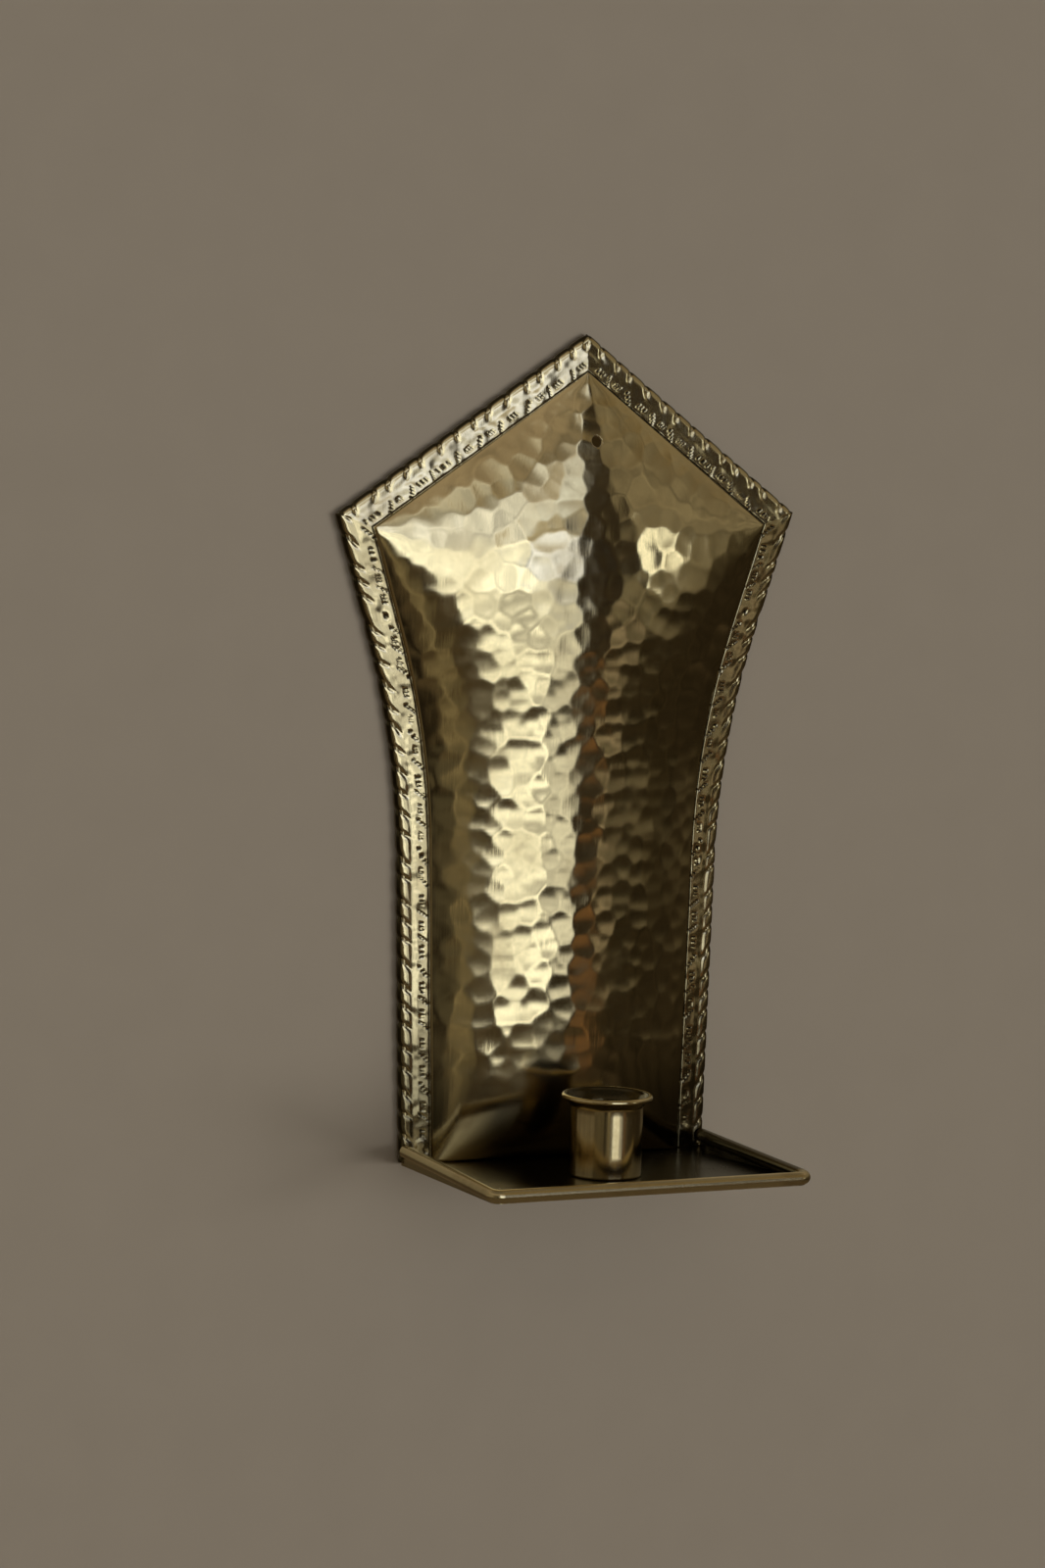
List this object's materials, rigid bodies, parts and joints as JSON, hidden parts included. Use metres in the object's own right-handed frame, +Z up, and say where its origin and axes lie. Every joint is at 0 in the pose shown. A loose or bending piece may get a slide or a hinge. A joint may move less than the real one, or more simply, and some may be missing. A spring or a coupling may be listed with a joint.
{
  "type": "wall sconce candle holder",
  "caption": "Hammered brass wall sconce with a gabled backplate, a shallow rimmed drip tray and a plain candle cup, hung from a hole near its peak.",
  "frame": {"origin": "centre of the hanging hole, halfway through the sheet of the backplate's raised panel", "axes": "+X to the right seen from the room, +Y into the wall, +Z up; the wall's face is 10.2 mm behind the origin"},
  "size_m": [0.1732, 0.0762, 0.2831],
  "materials": {
    "plate_brass": "hammered and polished, lightly tarnished in the hollows",
    "tray_brass": "polished, with wax haze and fine scratches",
    "cup_brass": "drawn and polished, smoky inside",
    "wire_brass": "drawn",
    "rivet_brass": "hammered flush"
  },
  "bodies": {
    "root": {"backplate": "plate_brass", "backplate_edge_wire": "wire_brass", "tray": "tray_brass", "tray_rim_wire": "wire_brass", "candle_cup": "cup_brass", "cup_rivet": "rivet_brass", "cup_rivet_burr": "rivet_brass", "tray_rivets": "rivet_brass"}
  },
  "joints": []
}
